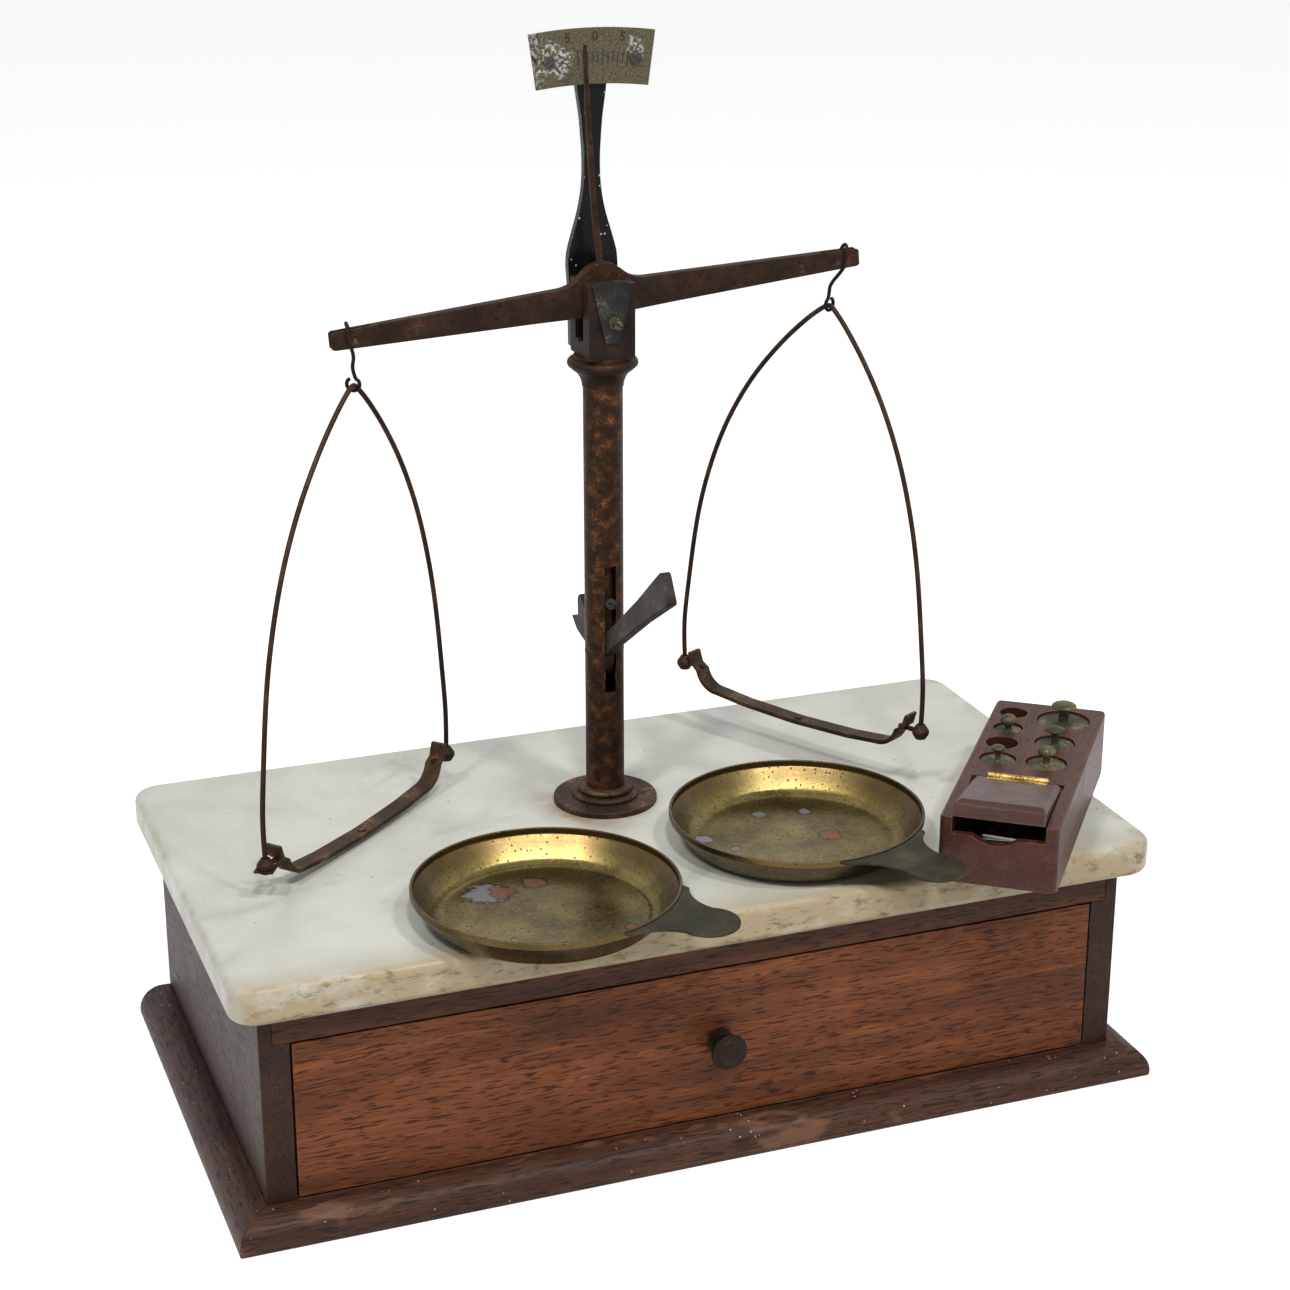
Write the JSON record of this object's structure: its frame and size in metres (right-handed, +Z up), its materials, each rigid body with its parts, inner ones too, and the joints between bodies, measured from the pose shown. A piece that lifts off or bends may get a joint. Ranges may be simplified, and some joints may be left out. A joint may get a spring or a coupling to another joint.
{
  "type": "pharmacist's column balance",
  "caption": "Equal-arm pharmacist's balance: a swinging beam with wire stirrups on a column, on a marble-topped drawer case, with loose pans and a block of brass weights.",
  "frame": {"origin": "on the floor, under the middle of the wooden case", "axes": "+Z up, +X to the user's right along the drawer front, -Y towards the user"},
  "size_m": [0.4237, 0.2592, 0.4479],
  "materials": {
    "case_wood": "worn dark mahogany polish",
    "drawer_wood": "worn red-brown mahogany polish",
    "plain_wood": "unfinished pale board",
    "block_wood": "polished red-brown mahogany",
    "marble": "honed white marble, stained at its edges",
    "bronze": "dark brown patina with bare copper-coloured wear",
    "pan_brass": "dull olive tarnish with black pits",
    "weight_brass": "green-brown tarnish",
    "bright_brass": "rubbed bright",
    "plate_brass": "pitted, corroded face",
    "steel": "darkened steel",
    "lacquer": "chipped black lacquer",
    "leaf_metal": "thin bright sheet"
  },
  "bodies": {
    "case": {"bottom_board": "case_wood", "left_side": "case_wood", "right_side": "case_wood", "case_back": "case_wood", "top_board": "case_wood", "top_rail": "case_wood", "plinth_front": "case_wood", "plinth_left": "case_wood", "plinth_right": "case_wood", "marble_slab": "marble", "column_flange": "bronze", "flange_screws": "steel", "column_tube": "bronze", "column_capital": "bronze", "lever_pin": "steel", "head_block": "bronze", "shield_screw": "bright_brass", "index_arm": "lacquer", "arm_screws": "steel", "scale_plate": "plate_brass", "scale_screws": "steel"},
    "drawer": {"drawer_front": "drawer_wood", "drawer_sides": "plain_wood", "drawer_back": "plain_wood", "drawer_bottom": "plain_wood", "drawer_knob": "bronze"},
    "lever": {"arrest_lever": "bronze"},
    "lift": {"lift_rod": "bronze", "bearing_fork": "steel", "guide_screw": "steel"},
    "shield": {"shield_plate": "steel"},
    "beam": {"beam": "bronze", "centre_knife": "steel", "end_knives": "steel", "pointer": "bronze"},
    "hook_left": {"left_hook": "bronze"},
    "stirrup_left": {"left_bow": "bronze", "left_strap": "bronze", "left_bow_feet": "bronze", "left_rivet": "bronze"},
    "hook_right": {"right_hook": "bronze"},
    "stirrup_right": {"right_bow": "bronze", "right_strap": "bronze", "right_bow_feet": "bronze", "right_rivet": "bronze"},
    "pan_left": {"left_pan": "pan_brass", "left_pan_tab": "pan_brass"},
    "pan_right": {"right_pan": "pan_brass", "right_pan_tab": "pan_brass"},
    "block": {"weight_block": "block_wood", "hinge_block_leaf": "bright_brass", "hinge_pin": "bright_brass", "leaf_weights": "leaf_metal"},
    "lid": {"block_lid": "block_wood", "hinge_lid_leaf": "bright_brass"},
    "w50": {"weight_50": "weight_brass"},
    "w20b": {"weight_20_back": "weight_brass"},
    "w20f": {"weight_20_front": "weight_brass"},
    "w5": {"weight_5": "weight_brass"},
    "w10": {"weight_10": "weight_brass"}
  },
  "joints": [
    {"name": "drawer_slide", "type": "slide", "parent": "case", "child": "drawer", "axis": [0, -1, 0], "range_m": [0, 0.15]},
    {"name": "lever_turn", "type": "hinge", "parent": "case", "child": "lever", "pos_m": [-0.004, 0.019, 0.1825], "axis": [1, 0, 0], "range_deg": [0, 42]},
    {"name": "rod_lift", "type": "slide", "parent": "case", "child": "lift", "axis": [0, 0, 1], "range_m": [0, 0.00314]},
    {"name": "beam_swing", "type": "hinge", "parent": "lift", "child": "beam", "pos_m": [-0.004, 0.019, 0.3387], "axis": [0, 1, 0], "range_deg": [0, 9]},
    {"name": "left_hook_hang", "type": "hinge", "parent": "beam", "child": "hook_left", "pos_m": [-0.11072, 0.019, 0.3309], "axis": [0, 1, 0], "range_deg": [-9, 0]},
    {"name": "right_hook_hang", "type": "hinge", "parent": "beam", "child": "hook_right", "pos_m": [0.10262, 0.019, 0.34769], "axis": [0, 1, 0], "range_deg": [-9, 0]},
    {"name": "left_stirrup_swing", "type": "hinge", "parent": "hook_left", "child": "stirrup_left", "pos_m": [-0.11172, 0.019, 0.3104], "axis": [1, 0, 0], "range_deg": [-6, 6]},
    {"name": "right_stirrup_swing", "type": "hinge", "parent": "hook_right", "child": "stirrup_right", "pos_m": [0.10012, 0.019, 0.32719], "axis": [1, 0, 0], "range_deg": [-6, 6]},
    {"name": "shield_turn", "type": "hinge", "parent": "case", "child": "shield", "pos_m": [-0.004, 0.0075, 0.331], "axis": [0, 1, 0], "range_deg": [-60, 60]},
    {"name": "left_pan_lift", "type": "slide", "parent": "case", "child": "pan_left", "axis": [0, 0, 1], "range_m": [0, 0.1]},
    {"name": "right_pan_lift", "type": "slide", "parent": "case", "child": "pan_right", "axis": [0, 0, 1], "range_m": [0, 0.1]},
    {"name": "block_lift", "type": "slide", "parent": "case", "child": "block", "axis": [0, 0, 1], "range_m": [0, 0.08]},
    {"name": "lid_hinge", "type": "hinge", "parent": "block", "child": "lid", "pos_m": [0.14508, -0.08798, 0.1411], "axis": [-0.7912, 0.6115, 0], "range_deg": [-9, 95]},
    {"name": "weight_50_lift", "type": "slide", "parent": "block", "child": "w50", "axis": [0, 0, 1], "range_m": [0, 0.04]},
    {"name": "weight_20_back_lift", "type": "slide", "parent": "block", "child": "w20b", "axis": [0, 0, 1], "range_m": [0, 0.04]},
    {"name": "weight_20_front_lift", "type": "slide", "parent": "block", "child": "w20f", "axis": [0, 0, 1], "range_m": [0, 0.04]},
    {"name": "weight_5_lift", "type": "slide", "parent": "block", "child": "w5", "axis": [0, 0, 1], "range_m": [0, 0.04]},
    {"name": "weight_10_lift", "type": "slide", "parent": "block", "child": "w10", "axis": [0, 0, 1], "range_m": [0, 0.04]}
  ],
  "couplings": [
    {"joint": "rod_lift", "follows": "lever_turn", "m_per_rad": 0.0042835},
    {"joint": "left_hook_hang", "follows": "beam_swing", "ratio": -1},
    {"joint": "right_hook_hang", "follows": "beam_swing", "ratio": -1}
  ]
}
